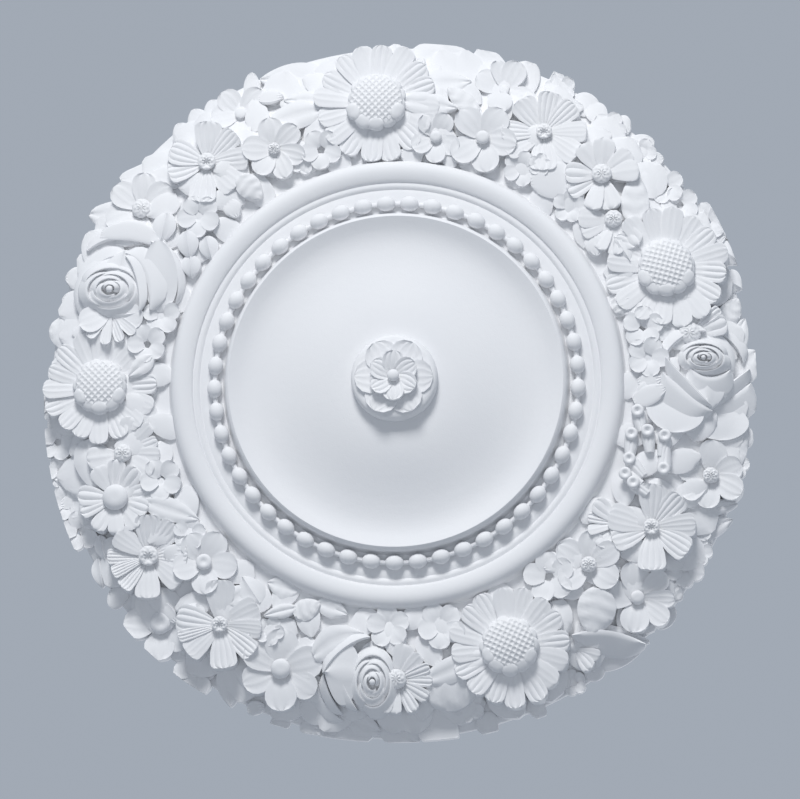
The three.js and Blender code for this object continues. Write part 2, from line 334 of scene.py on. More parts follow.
def knob(x, y, radius, height, lift, bumps=0.0, hole=0.0, shift=0.0):
    """Lays a knob: smooth, or bumpy like a berry, or with a hole pressed in its top."""
    master = BERRY if bumps else KNOB
    ball = points_of(master)
    angle = np.arctan2(ball[:, 1], ball[:, 0])
    flat = np.hypot(ball[:, 0], ball[:, 1])
    rise = height * ball[:, 2]
    pattern = np.cos(BUMPS_ROUND * angle) * np.cos(flat * BUMP_RINGS)
    rise += bumps * pattern * (ball[:, 2] > -0.2) * (flat > 0.1)
    away = np.hypot(ball[:, 0], ball[:, 1] + shift)
    rise -= hole * np.exp(-((away / HOLE_WIDTH) ** 2)) * (ball[:, 2] > 0)
    points = np.column_stack([ball[:, 0] * radius, ball[:, 1] * radius, rise])
    wreath.append(press(master, lay(points, np.zeros(len(ball), bool), x, y, 0, lift)))


print("a berry has", triangles(BERRY), "triangles and a smooth knob", triangles(KNOB))

# %% [markdown]
# ## Where the blooms are
# The wreath has no repeat, so every bloom has its own place, size, kind and petals. A flower that
# its neighbour half covers has only the petals that show. The small flowers with a pit in the
# middle are all alike but for their size and turn.

# %% Blooms
# x, y, radius, petal kind, heart kind, heart radius, lift, directions of the petals
BLOOMS = [
    (-193, 227, 41, "cosmos", "pitted", 9, 8, (90, 45, 5, -42, -98, 195, 158)),
    (145, 256, 42, "cosmos", "pitted", 8, 7, (180, 128, 82, 42, 0, -38, -90, 207)),
    (254, -144, 42, "cosmos", "pitted", 8, 8, (90, 48, 5, -35, -88, 200, 165)),
    (-246, -172, 41, "cosmos", "pitted", 10, 8, (90, 50, 2, -38, -92, 228, 203, 178, 145)),
    (-174, -241, 43, "cosmos", "pitted", 8, 9, (90, 22, -8, -42, -85, 222, 193, 168)),
    (203, 212, 37, "daisy", "berry", 10, 9, (180, 125, 85, 38, 8, -72, -105, 213)),
    (215, 166, 36, "daisy", "berry", 9, 5, (177, 205, 243, 275, 310)),
    (291, 51, 38, "daisy", "berry", 11, 5, (176, 157, 136, 112, 90, 66, 42, 18)),
    (-273, -69, 38, "daisy", "berry", 9, 4, (-3, 20, 45, 75, -38, 190)),
    (-288, 74, 34, "round", "none", 0, 11, (202, 232, 262, 290, 318, 345)),
    (223, -140, 32, "daisy", "none", 0, 4, (142, 168, 195, 222)),
    (2, -296, 35, "daisy", "berry", 10, 8, (75, 45, 18, -5, -32, -62, -92, -118)),
    (-280, -113, 37, "daisy", "dome", 13, 8, (90, 122, 50, 12, -20, -55, -88, 237, 203, 173)),
    (-259, 182, 38, "round", "berry", 10, 4, (85, 35, 140, 200, 265, 320)),
    (-161, 280, 31, "round", "plain", 6, 3, (190, 130, 265, 330, 50)),
    (-125, 239, 32, "round", "berry", 6, 6, (178, 237, 295, 345, 45, 100)),
    (37, 250, 26, "round", "dome", 6, 5, (118, 62, -90, -30, 205)),
    (84, 249, 35, "round", "dome", 7, 6, (128, 55, 213, -82, -15)),
    (104, 302, 32, "round", "plain", 5, 2, (150, 65, 262, 335, 105)),
    (-190, -179, 33, "round", "button", 8, 5, (-10, -88, 195, 120, 60)),
    (-113, -285, 41, "round", "dome", 10, 8, (-92, 202, 150, 88, 12, -35)),
    (192, -182, 34, "round", "berry", 8, 5, (215, -32, 150, 85, 30)),
    (240, -213, 36, "round", "dome", 7, 8, (98, 42, 0, -38, -100, 172)),
    (312, -90, 34, "round", "berry", 8, 7, (85, 22, -28, -98, 218, 160)),
    (-235, -236, 37, "round", "button", 11, 5, (62, 122, 182, 265, 320)),
    (178, -264, 26, "daisy", "none", 0, 5, (60, 20, -15, -50)),
]
# Small flowers round a pit: x, y, radius, lift
PIT_FLOWERS = [
    (-78, 238, 21, 6), (122, 218, 18, 4), (171, 179, 17, 4), (-236, 70, 19, 6), (-250, 41, 20, 6),
    (245, 57, 21, 6), (250, 26, 21, 6), (-234, -96, 21, 5), (-205, -150, 17, 4), (153, -194, 25, 6),
    (46, -243, 24, 5), (-6, -243, 22, 5), (-200, 171, 22, 6), (-202, -286, 22, 5), (-318, -142, 21, 5),
    (-333, -114, 18, 5), (-342, -52, 19, 6), (208, 264, 18, 5), (265, 205, 19, 5), (280, 186, 19, 5),
    (307, 170, 20, 5), (242, 240, 15, 4), (286, -181, 20, 5), (299, -164, 15, 5), (72, -320, 16, 4),
    (-124, -248, 15, 4), (302, -140, 14, 2), (-97, 227, 14, 2), (141, 221, 12, 4), (-69, -336, 14, 2),
    (159, 307, 16, 3), (-339, -82, 16, 3), (-351, -15, 14, 3), (176, -295, 13, 3), (336, -77, 14, 3),
]
# Blank, widest angle of a petal and how much of its room it fills
BLOOM_KINDS = {
    "cosmos": (RIBBED_TONGUE, 50, 0.98), "daisy": (SMALL_TONGUE, 44, 0.98), "round": (STRAP_TONGUE, 64, 0.88),
}
SMALLEST_HEART = 5
ROOT_UNDER_HEART = 0.7

for x, y, radius, kind, heart, heart_radius, lift, directions in BLOOMS:
    blank, widest, fill = BLOOM_KINDS[kind]
    root = max(heart_radius, SMALLEST_HEART) * ROOT_UNDER_HEART
    whorl(blank, x, y, directions, root, radius, kind, lift, widest, fill)
    if heart != "none":
        look = HEART_KINDS[heart]
        height, hole = look["rise"] * heart_radius, look["hole"] * heart_radius
        knob(x, y, heart_radius, height, lift + 0.5, look["bumps"], hole, look["shift"])

STAR_STEP = 72
PIT_SHARE = 0.17
SMALLEST_PIT = 3.2

for x, y, radius, lift in PIT_FLOWERS:
    first = shake.uniform(0, STAR_STEP)
    star = [first + STAR_STEP * number for number in range(5)]
    pit = max(SMALLEST_PIT, radius * PIT_SHARE)
    whorl(SMALL_TONGUE, x, y, star, pit, radius, "cup", lift, 76, fill=0.84, lean=0.6)
print(len(BLOOMS) + len(PIT_FLOWERS), "blooms laid, of", len(wreath), "pieces so far")

# %% [markdown]
# ## Sunflowers
# Four sunflowers hold the wreath: a head of seeds in crossing rows, a collar of scales and a ring
# of strap petals. On the real casting the seeds are a fine lattice cut into a low dome. Seeds
# modelled one by one would cost thousands of faces for each head, so one fine blank is raised in
# two sets of thin ridges that cross.

# %% Sunflowers
# x, y, radius, petals, turn, lift, direction of the seed rows
SUNFLOWERS = [
    (-23, 287, 62, 16, 84, 7, 45), (268, 117, 61, 16, 84, 8, -15), (114, -263, 60, 16, 97, 9, -25),
    (-297, -1, 57, 16, 90, 7, 45),
]
HEAD_SHARE = 0.43
SEED_PITCH = 4.8
STEPS_TO_A_SEED = 4
HEAD_GRID = 46
HEAD_RISE = 8
RIDGE_RISE = 1.5
COLLAR_SCALES = 14
LID_STEP = 31
HEAD_BLANK = tongue("head_blank", HEAD_GRID, HEAD_GRID)


def seed_head(x, y, radius, lift, rows):
    """A low dome whose thin ridges cross, with a seed pit in every mesh."""
    u, v, wall = grid_of(HEAD_BLANK)
    reach = HEAD_GRID / STEPS_TO_A_SEED * SEED_PITCH / 2
    along, across = u * reach, (v * 2 - 1) * reach
    away = np.hypot(along, across)
    beyond = np.maximum(away - radius, 0)
    share = np.where(beyond > 0, (radius + 0.1 * beyond) / np.maximum(away, 1e-6), 1)
    rows_one_way = np.abs(np.cos(math.pi * along / SEED_PITCH))
    rows_other_way = np.abs(np.cos(math.pi * across / SEED_PITCH))
    weave = np.maximum(rows_one_way, rows_other_way)
    dome = HEAD_RISE * np.sqrt(np.maximum(0, 1 - (np.minimum(away, radius) / (radius * 1.03)) ** 2))
    z = dome + RIDGE_RISE * weave**4 * (beyond == 0) - 2.0 * beyond
    points = np.column_stack([along * share, across * share, z])
    wreath.append(press(HEAD_BLANK, lay(points, wall, x, y, rows, lift)))


for x, y, radius, petals, turn, lift, rows in SUNFLOWERS:
    head = radius * HEAD_SHARE
    ring = [turn + number * 360 / petals for number in range(petals)]
    collar = [turn + 9 + number * 360 / COLLAR_SCALES for number in range(COLLAR_SCALES)]
    lids = [-90 + step * LID_STEP for step in (-2, -1, 0, 1, 2)]
    whorl(STRAP_TONGUE, x, y, ring, head, radius, "strap", lift - 1, 360 / petals, 1.06, 0.8)
    whorl(SMALL_TONGUE, x, y, collar, head * 0.8, head * 1.12, "scale", lift + 3, 26, 1.1, 0.4)
    whorl(STRAP_TONGUE, x, y, lids, head * 0.72, head * 1.16, "scale", lift + 7, LID_STEP, 1.1, 0.4)
    seed_head(x, y, head, lift + 3, rows)
print("sunflowers laid,", len(wreath), "pieces so far")

# %% [markdown]
# ## Roses
# A full rose is a tight bud with petals folded round it. Each fold has a sharp lip on its inner
# side and falls away outward under the lip of the next one, wider and lower as they come out. The
# inner folds follow one rule, turned by the golden angle each time so that no two lips line up.
# The large outer petals differ from rose to rose, so each has a line of its own.

# %% Roses
# x, y, half width, half height, lift
ROSES = [(-288, 96, 35, 27, 16), (305, 25, 27, 18, 15), (-21, -300, 24, 33, 15)]
# Lips of the outer petals and of one large leaf: start x, y, bend x, y, end x, y, width, lift, fall
FOLDED_LIPS = [
    (268, 25, 288, 4, 313, -22, 12, 14, 7), (265, 11, 286, -9, 314, -27, 28, 10, 9),
    (307, -22, 330, 6, 350, 18, 12, 14, 7), (306, -27, 333, -8, 351, 5, 26, 10, 9),
    (292, 16, 309, -2, 331, 15, 22, 15, 8), (343, 26, 332, 54, 307, 53, 12, 9, 6),
    (307, 53, 280, 50, 266, 25, 12, 9, 6),
    (-248, 75, -246, 116, -273, 133, 20, 12, 4), (-258, 74, -258, 109, -273, 130, 10, 15, 3),
    (-273, 132, -305, 133, -318, 101, 14, 13, 4), (-238, 137, -279, 163, -314, 140, 12, 9, 3),
    (-317, 97, -296, 64, -254, 74, 7, 11, 5), (-222, 82, -212, 123, -248, 145, 8, 9, 6),
    (-70, -290, -66, -311, -52, -328, 9, 12, 6), (-24, -255, -52, -262, -70, -290, 9, 12, 6),
    (0, -290, 2, -311, -13, -330, 8, 11, 5), (-56, -277, -51, -304, -37, -325, 10, 15, 3),
    (-78, -297, -73, -319, -52, -334, 10, 8, 4), (175, -251, 212, -238, 248, -258, 24, 19, 15),
]
GOLDEN_ANGLE = 137.5
ROSE_FOLDS = 9
FIRST_FOLD_ANGLE = 70
FOLD_SPREAD = 0.66
FOLD_DEPTH = 10
INNER_SPAN = 210
OUTER_SPAN = 150
LIP_SHARE = 0.16


def fold(x, y, angle, span, inner, outer, top, bottom, wide, tall):
    """One crescent petal of a rose: its lip stands along the inner side at the top height."""
    u, v, wall = grid_of(FOLD_TONGUE)
    swing = np.radians(angle + span / 2 * u)
    reach = inner + (outer - inner) * (1 - 0.75 * np.abs(u) ** 3) * v
    rim = ease(v / LIP_SHARE) * 0.9 + 0.1
    z = bottom + (top - bottom) * rim * (1 - v**1.15) * (1 - 0.45 * u**4)
    points = np.column_stack([wide * reach * np.cos(swing), tall * reach * np.sin(swing), z])
    wreath.append(press(FOLD_TONGUE, lay(points, wall, x, y, 0, 0, DEEP_ROOT)))


def rose(x, y, wide, tall, lift):
    """Two domes, a bud in their middle and the folds in a golden-angle spiral."""
    narrow = min(wide, tall)
    knob(x, y, wide + 4, lift - 8, 0)
    knob(x, y, narrow * 0.9, lift - 4, 0)
    knob(x, y, narrow * 0.13, 3, lift + 3)
    for number in range(ROSE_FOLDS):
        share = number / (ROSE_FOLDS - 1)
        inner, outer = 0.12 + FOLD_SPREAD * share, 0.46 + FOLD_SPREAD * share
        span = INNER_SPAN - (INNER_SPAN - OUTER_SPAN) * share
        top = lift + 7 - 4 * share
        angle = FIRST_FOLD_ANGLE + number * GOLDEN_ANGLE
        fold(x, y, angle, span, inner, outer, top, top - FOLD_DEPTH, wide, tall)


def lip(place, width, top, fall):
    """A folded petal. Its sharp lip runs from start to end and the petal falls away on the right."""
    u, v, wall = grid_of(FOLD_TONGUE)
    t = (u[:, None] + 1) / 2
    start, bend, end = np.array(place, float).reshape(3, 2)
    line = (1 - t) ** 2 * start + 2 * t * (1 - t) * bend + t**2 * end
    travel = (1 - t) * (bend - start) + t * (end - bend)
    outward = np.column_stack([travel[:, 1], -travel[:, 0]]) / np.hypot(travel[:, 0], travel[:, 1])[:, None]
    flat = line + outward * (width * (1 - 0.8 * u**4) * v)[:, None]
    z = -fall * v**1.4 - 2.0 * (1 - ease(v / 0.14)) - 1.0 * u**6
    points = np.column_stack([flat, z])
    wreath.append(press(FOLD_TONGUE, lay(points, wall, 0, 0, 0, top, DEEP_ROOT, False)))


for placement in ROSES:
    rose(*placement)
for *place, width, top, fall in FOLDED_LIPS:
    lip(place, width, top, fall)
bloom_count = len(wreath)
print("roses laid,", bloom_count, "pieces so far")

# %% [markdown]
# ## Leaves and loose petals
# Between the blooms lie leaves and petals of flowers that are half hidden. Each runs from its root
# to its tip. A leaf is pointed, with a sunken midrib and veins; a fold has a sharp crease. Plain
# petals, set low, fill the ground and the rim so that no bare plaster shows. They come first and
# from a rule, because little of each is seen; the leaves that do show are placed one by one.

# %% Leaves
# point: high for a sharp tip. arch: from side to side. spine: height of the middle line. vein:
# height of the cross ribs. rib: half the depth of the long grooves. raised: how far the tip lifts.
LEAF_KINDS = {
    "leaf": dict(point=0.75, arch=1.6, spine=-1.6, vein=0.4, rib=0.0, raised=0.0),
    "ribbed": dict(point=0.60, arch=2.0, spine=0.0, vein=1.5, rib=0.0, raised=0.0),
    "petal": dict(point=0.50, arch=0.9, spine=0.0, vein=0.0, rib=0.35, raised=1.5),
    "bowl": dict(point=0.50, arch=-1.0, spine=0.0, vein=0.0, rib=0.0, raised=5.0),
    "rim": dict(point=0.50, arch=0.9, spine=0.0, vein=0.0, rib=0.45, raised=4.0),
    "fold": dict(point=0.85, arch=1.0, spine=2.6, vein=0.0, rib=0.0, raised=0.0),
}
# root x, root y, tip x, tip y, width, lift, kind, bend
LEAVES = [
    (308, 10, 310, -27, 34, 9, "fold", 0), (280, -13, 272, -49, 58, 3, "bowl", 0),
    (321, -18, 315, -54, 62, 2, "bowl", 0), (-34, -293, -69, -289, 60, 11, "fold", 0),
    (-284, 101, -274, 136, 32, 12, "fold", 0),
    (-224, 240, -283, 215, 34, 3, "petal", 10), (-257, 173, -317, 181, 34, 3, "leaf", 0),
    (-285, 122, -315, 160, 42, 6, "petal", 0), (-300, 157, -230, 139, 20, 7, "petal", 9),
    (-236, 80, -240, 145, 36, 7, "bowl", 0), (-212, 155, -208, 127, 22, 6, "fold", 0),
    (-192, 150, -186, 126, 20, 5, "fold", 0), (-208, 131, -206, 108, 20, 5, "fold", 0),
    (-232, 174, -238, 144, 24, 5, "fold", 0), (-206, 243, -227, 272, 28, 2, "petal", 0),
    (-192, 254, -211, 287, 28, 2, "petal", 0), (-176, 264, -194, 296, 30, 2, "petal", 0),
    (-160, 210, -137, 188, 24, 6, "ribbed", 0), (-171, 186, -161, 170, 18, 3, "petal", 0),
    (-71, 314, -143, 317, 38, 3, "leaf", 0), (-151, 297, -152, 325, 17, 3, "petal", 0),
    (-143, 295, -118, 296, 15, 6, "petal", 0), (-52, 288, -117, 291, 24, 3, "leaf", 0),
    (-78, 280, -139, 258, 29, 5, "leaf", -3), (1, 325, 73, 339, 44, 2, "leaf", 4),
    (-1, 296, 22, 336, 22, 4, "petal", 0), (1, 303, 71, 310, 32, 4, "leaf", 0),
    (2, 288, 58, 280, 24, 6, "leaf", 0), (78, 275, 48, 302, 20, 5, "ribbed", 0),
    (99, 300, 78, 350, 36, 1, "petal", 0), (109, 298, 133, 334, 36, 1, "petal", 0),
    (162, 291, 153, 325, 26, 2, "fold", 0), (100, 297, 101, 274, 25, 7, "petal", 0),
    (176, 208, 132, 203, 38, 3, "petal", 0), (191, 290, 202, 270, 22, 3, "petal", 0),
    (236, 162, 236, 213, 28, 6, "ribbed", 0), (213, 271, 229, 262, 26, 2, "petal", 0),
    (230, 241, 253, 254, 26, 2, "petal", 0), (172, 293, 199, 286, 26, 1, "petal", 0),
    (244, 229, 263, 236, 20, 2, "petal", 0), (194, 151, 199, 129, 20, 4, "petal", 0),
    (292, 168, 301, 187, 20, 2, "petal", 0), (316, 147, 341, 128, 24, 1, "fold", 0),
    (320, 115, 342, 102, 26, 1, "fold", 0), (326, 153, 329, 161, 22, 1, "petal", 0),
    (323, 62, 338, 91, 22, 5, "ribbed", 0), (328, 33, 345, 71, 24, 4, "leaf", 0),
    (332, 11, 357, 39, 34, 3, "leaf", 0), (236, -19, 268, -5, 20, 5, "petal", 0),
    (240, 0, 264, 5, 16, 4, "petal", 0), (342, -12, 353, -14, 40, 3, "petal", 0),
    (324, -88, 345, -35, 26, 4, "ribbed", 0), (336, -52, 351, -40, 26, 1, "petal", 0),
    (287, -125, 338, -116, 18, 4, "leaf", 0), (290, -148, 333, -131, 22, 1, "leaf", 0),
    (293, -132, 313, -157, 20, 2, "leaf", 0), (169, -259, 251, -254, 27, 5, "leaf", 4),
    (204, -206, 194, -250, 38, 8, "ribbed", 0), (194, -278, 245, -259, 22, 1, "leaf", 0),
    (266, -198, 283, -211, 22, 4, "ribbed", 0), (253, -234, 277, -221, 24, 1, "petal", 0),
    (281, -194, 293, -185, 20, 1, "petal", 0), (32, -297, 100, -269, 26, 7, "leaf", 0),
    (33, -314, 86, -289, 36, 8, "ribbed", -5), (27, -321, 57, -362, 40, 4, "bowl", 0),
    (-14, -330, 23, -359, 34, 1, "leaf", 0), (-48, -326, -49, -360, 56, 1, "petal", 0),
    (-68, -321, -96, -323, 32, 3, "petal", 0), (-80, -273, -30, -251, 30, 6, "leaf", 6),
    (-48, -333, -15, -344, 22, 2, "leaf", 0), (-89, -331, -81, -348, 22, 1, "petal", 0),
    (-161, -273, -165, -319, 28, 4, "leaf", -3), (-149, -321, -131, -318, 14, 3, "petal", 0),
    (-119, -327, -111, -342, 22, 1, "petal", 0), (-98, -225, -130, -233, 14, 5, "leaf", 0),
    (-100, -232, -74, -220, 22, 4, "ribbed", 0), (-134, -220, -152, -193, 26, 3, "fold", 0),
    (-97, -207, -127, -199, 24, 2, "leaf", 0), (-77, -219, -47, -231, 20, 2, "leaf", 0),
    (-153, -260, -134, -242, 22, 3, "fold", 0), (-250, -118, -196, -136, 24, 4, "leaf", 0),
    (-313, -54, -298, -105, 38, 5, "leaf", 3), (-316, -85, -345, -89, 30, 2, "leaf", 0),
    (-298, -148, -292, -173, 15, 5, "fold", 0), (-299, -170, -295, -199, 18, 4, "fold", 0),
    (-319, -133, -327, -118, 20, 2, "petal", 0), (-316, 114, -337, 115, 24, 4, "petal", 0),
    (-315, 89, -340, 93, 22, 4, "petal", 0), (-315, 56, -354, 63, 38, 3, "ribbed", 0),
    (-317, 34, -347, 38, 24, 3, "leaf", 0), (-244, 28, -268, 8, 18, 6, "leaf", 0),
    (-338, -4, -355, -10, 24, 3, "petal", 0), (-336, -33, -353, -34, 22, 3, "petal", 0),
    (-237, -217, -219, -236, 16, 2, "petal", 0), (-273, -214, -287, -201, 26, 2, "petal", 0),
    (-212, -257, -223, -272, 24, 2, "petal", 0), (-197, -219, -201, -233, 20, 3, "fold", 0),
    (-167, -219, -141, -205, 22, 2, "leaf", 0), (-225, -179, -212, -163, 24, 3, "petal", 0),
    (23, 228, 1, 236, 20, 2, "petal", 0), (58, 223, 43, 232, 16, 2, "petal", 0),
    (259, -2, 240, -13, 20, 4, "petal", 0), (216, 148, 232, 123, 20, 3, "fold", 0),
    (219, 89, 232, 69, 24, 3, "ribbed", 0), (244, 85, 239, 73, 18, 2, "petal", 0),
    (163, -175, 147, -185, 22, 3, "petal", 0), (214, -159, 204, -175, 22, 3, "petal", 0),
    (148, -219, 123, -232, 24, 1, "petal", 0), (74, -248, 55, -236, 20, 2, "petal", 0),
    (101, -335, 79, -337, 24, 1, "petal", 0), (146, -315, 131, -323, 26, 1, "petal", 0),
    (201, -275, 189, -291, 22, 1, "petal", 0), (304, 146, 325, 156, 18, 1, "petal", 0),
    (-317, -109, -339, -116, 18, 1, "petal", 0), (-196, -275, -210, -294, 18, 1, "petal", 0),
]
VEINS = 3.5
VEIN_SLANT = 0.5
MIDRIB_WIDTH = 0.25
FILLERS = 170
FILLER_RING = (232, 330)
FILLER_HALF_LENGTH = 18
FILLER_WIDTH = 25
FILLER_LIFT = 0.8
FILLER_SWING = 1.2
RIM_FILLERS = 46
RIM_FILLER_WIDTH = 40
RIM_FOOT = 312
RIM_TIP = 348
RIM_TIP_SPREAD = 5
RIM_STEP_SPREAD = 0.4
RIM_TWIST = 0.0625


def leaf(root_x, root_y, tip_x, tip_y, width, lift, kind="petal", bend=0.0, master=LEAF_TONGUE):
    """One leaf from its root to its tip."""
    look = LEAF_KINDS[kind]
    u, v, wall = grid_of(master)
    length = math.hypot(tip_x - root_x, tip_y - root_y)
    half = width / 2 * np.sin(math.pi * (0.06 + 0.93 * v) ** 0.85) ** look["point"]
    midrib = np.exp(-((u / MIDRIB_WIDTH) ** 2))
    z = look["arch"] * (1 - u**4) + look["spine"] * midrib + 1.5 * np.sin(math.pi * v)
    z += look["raised"] * v - look["rib"] * np.cos((u + 1) / 2 * master["across"] * math.pi)
    veins = np.cos(2 * math.pi * (VEINS * v - VEIN_SLANT * np.abs(u)))
    z += look["vein"] * veins * np.abs(u) ** 0.5 * (1 - u**6)
    points = np.column_stack([length * v, half * u + bend * np.sin(math.pi * v), z])
    heading = math.degrees(math.atan2(tip_y - root_y, tip_x - root_x))
    wreath.append(press(master, lay(points, wall, root_x, root_y, heading, lift - 1.5, None, False)))


for number in range(FILLERS):
    spread = (number + 0.5) / FILLERS
    nearest, farthest = FILLER_RING
    reach = math.sqrt(nearest**2 + (farthest**2 - nearest**2) * spread)
    angle = math.radians(number * GOLDEN_ANGLE)
    heading = angle + shake.uniform(-1, 1) * FILLER_SWING
    x, y = reach * math.cos(angle), reach * math.sin(angle)
    dx, dy = FILLER_HALF_LENGTH * math.cos(heading), FILLER_HALF_LENGTH * math.sin(heading)
    lift = FILLER_LIFT + shake.uniform(-1, 1)
    leaf(x - dx, y - dy, x + dx, y + dy, FILLER_WIDTH, lift, "petal", 0.0, FILLER_TONGUE)

for number in range(RIM_FILLERS):
    angle = 2 * math.pi * (number + RIM_STEP_SPREAD * shake.uniform(-1, 1)) / RIM_FILLERS
    tip = RIM_TIP + RIM_TIP_SPREAD * shake.uniform(-1, 1)
    twist = RIM_TWIST * shake.uniform(-1, 1)
    x, y = RIM_FOOT * math.cos(angle + twist), RIM_FOOT * math.sin(angle + twist)
    tip_x, tip_y = tip * math.cos(angle), tip * math.sin(angle)
    leaf(x, y, tip_x, tip_y, RIM_FILLER_WIDTH, 1, "rim", 0.0, FILLER_TONGUE)

for placement in LEAVES:
    leaf(*placement)
print(FILLERS + RIM_FILLERS, "fillers and", len(LEAVES), "leaves laid")

# %% [markdown]
# ## Trumpets
# One small cluster of open tubes lies between the blooms. A tube is a strongly arched petal, and
# its mouth is a knob with a deep hole, because only its upper side ever shows.

# %% Trumpets
# mouth x, mouth y, foot x, foot y
TRUMPETS = [
    (240, -29, 244, -49), (250, -49, 252, -70), (234, -52, 232, -76), (267, -54, 264, -74),
    (232, -77, 246, -94), (228, -92, 244, -102), (236, -101, 250, -112), (266, -87, 268, -65),
]
MOUTH_RADIUS = 6.5
TUBE_WIDTH = 14

for mouth_x, mouth_y, foot_x, foot_y in TRUMPETS:
    length = math.hypot(mouth_x - foot_x, mouth_y - foot_y)
    heading = math.degrees(math.atan2(mouth_y - foot_y, mouth_x - foot_x))
    points, wall = petal(STRAP_TONGUE, 0, length, TUBE_WIDTH, "tube")
    wreath.append(press(STRAP_TONGUE, lay(points, wall, foot_x, foot_y, heading, 6)))
    knob(mouth_x, mouth_y, MOUTH_RADIUS, 4, 12, hole=5)
wreath_blooms = join("wreath_blooms", wreath[:bloom_count])
wreath_leaves = join("wreath_leaves", wreath[bloom_count:])
print("the blooms have", triangles(wreath_blooms), "triangles and the leaves", triangles(wreath_leaves))

# %% [markdown]
# ## The turned centre
# The middle of a plaster model is run with a profile on a pivot, so it is a true turned form: the
# flat back, the rim, the swell under the wreath, the bold roll, the bead channel and the domed
# field. The profile is drawn as a chain of edges and spun about the pivot, which keeps every
# moulding round and sharp, as the running template does.

# %% Profile and spin
ROLL_CENTRE = 214.8
ROLL_HALF_WIDTH = 11.4
ROLL_TOP = 55.5
ROLL_INNER_FOOT = 50.5
ROLL_OUTER_FOOT = 44
GROUND_DROP = 5
TURNED_STEPS = 180
PIVOT_GAP = 0.01


def field_height(reach):
    """The ogee of the domed field: falling from the boss, low at 140 mm and rising to the lip."""
    knots = [[42, 75], [60, 74], [75, 71.5], [90, 68], [105, 64], [122, 60], [140, 58], [154, 60], [165, 66]]
    reaches, heights = zip(*knots)
    return sum(np.interp(reach + offset, reaches, heights) for offset in (-5, -2, 0, 2, 5)) / 5


def profile_points():
    """Radius and height along the profile, from the middle of the back round to the boss."""
    back = [(PIVOT_GAP, 0), (PLATE_RADIUS, 0), (PLATE_RADIUS + 1, 2), (PLATE_RADIUS, 6)]
    rising = [(reach, float(swell(reach)) - GROUND_DROP) for reach in range(330, 230, -8)]
    rising[-1] = (228, 41)
    roll = []
    for degrees in range(0, 181, 15):
        angle = math.radians(degrees)
        reach = ROLL_CENTRE + ROLL_HALF_WIDTH * math.cos(angle)
        foot = ROLL_INNER_FOOT + (ROLL_OUTER_FOOT - ROLL_INNER_FOOT) * (1 + math.cos(angle)) / 2
        roll.append((reach, foot + (ROLL_TOP - foot) * math.sin(angle)))
    fillet = [(201, 51.6), (198.6, 51.4), (197.4, 50.4), (196.2, 49.4)]
    channel = [(194.4, 50), (190, 50.4), (181, 50), (173, 50.5)]
    lip = [(171, 54), (170.4, 60), (169, 64.5), (166.6, 66.2)]
    field = [(reach, float(field_height(reach))) for reach in range(162, 42, -6)]
    boss = [(43, 75), (43, 82), (42, 86), (39.5, 88.5), (36, 89), (20, 89), (PIVOT_GAP, 89)]
    return [*back, *rising, *roll, *fillet, *channel, *lip, *field, *boss]


def turned_body():
    """Spins the profile and closes it at the pivot."""
    outline = profile_points()
    mesh = bpy.data.meshes.new("turned_body")
    edges = [(number, number + 1) for number in range(len(outline) - 1)]
    mesh.from_pydata([(reach, 0, height) for reach, height in outline], edges, [])
    piece = bpy.data.objects.new("turned_body", mesh)
    bpy.context.scene.collection.objects.link(piece)
    deselect()
    piece.select_set(True)
    bpy.context.view_layer.objects.active = piece
    bpy.ops.object.mode_set(mode="EDIT")
    bpy.ops.mesh.select_all(action="SELECT")
    bpy.ops.mesh.spin(steps=TURNED_STEPS, angle=2 * math.pi, center=(0, 0, 0), axis=(0, 0, 1))
    bpy.ops.mesh.select_all(action="SELECT")
    bpy.ops.mesh.remove_doubles(threshold=PIVOT_GAP * 3)
    bpy.ops.mesh.normals_make_consistent(inside=False)
    bpy.ops.object.mode_set(mode="OBJECT")
    return piece


centre = [turned_body()]
print("the turned body has", triangles(centre[0]), "triangles")

# %% [markdown]
# ## Beads
# A string of beads lies in the channel, a little longer than wide, each joined to the next by a
# short thread. One bead is modelled and copied round, each copy with a mesh of its own; the thread
# is a thin ring through them all.

# %% Beads on their thread
BEAD_RING_RADIUS = 181
BEAD_COUNT = 49
BEAD_LENGTH = 18.8
BEAD_WIDTH = 15.2
BEAD_HEIGHT = 55.5
FIRST_BEAD_ANGLE = -90
THREAD_RADIUS = 2.6

deselect()
bpy.ops.mesh.primitive_uv_sphere_add(segments=20, ring_count=12, radius=1)
bead_master = bpy.context.object
bead = points_of(bead_master) * np.array([BEAD_WIDTH, BEAD_LENGTH, BEAD_WIDTH]) / 2
for number in range(BEAD_COUNT):
    angle = math.radians(FIRST_BEAD_ANGLE + number * 360 / BEAD_COUNT)
    x = (BEAD_RING_RADIUS + bead[:, 0]) * math.cos(angle) - bead[:, 1] * math.sin(angle)
    y = (BEAD_RING_RADIUS + bead[:, 0]) * math.sin(angle) + bead[:, 1] * math.cos(angle)
    centre.append(press(bead_master, np.column_stack([x, y, BEAD_HEIGHT + bead[:, 2]])))
deselect()
bpy.ops.mesh.primitive_torus_add(
    major_radius=BEAD_RING_RADIUS, minor_radius=THREAD_RADIUS, major_segments=98, minor_segments=8,
    location=(0, 0, BEAD_HEIGHT - 2),
)
bpy.ops.object.transform_apply()
centre.append(bpy.context.object)
print(BEAD_COUNT, "beads on their thread")

# %% [markdown]
# ## The boss rosette
# Two rounds of six petals lie on the boss, the inner round higher and between the outer ones, with
# a bud in the middle. They come from the same blank as the blooms, laid flat, and their walls go
# down into the boss so that nothing hangs free.

# %% Rosette
BOSS_PETALS = 6
BOSS_ROOT = 80
BUD_SIZE = (6, 6, 4)
BUD_HEIGHT = 98.5


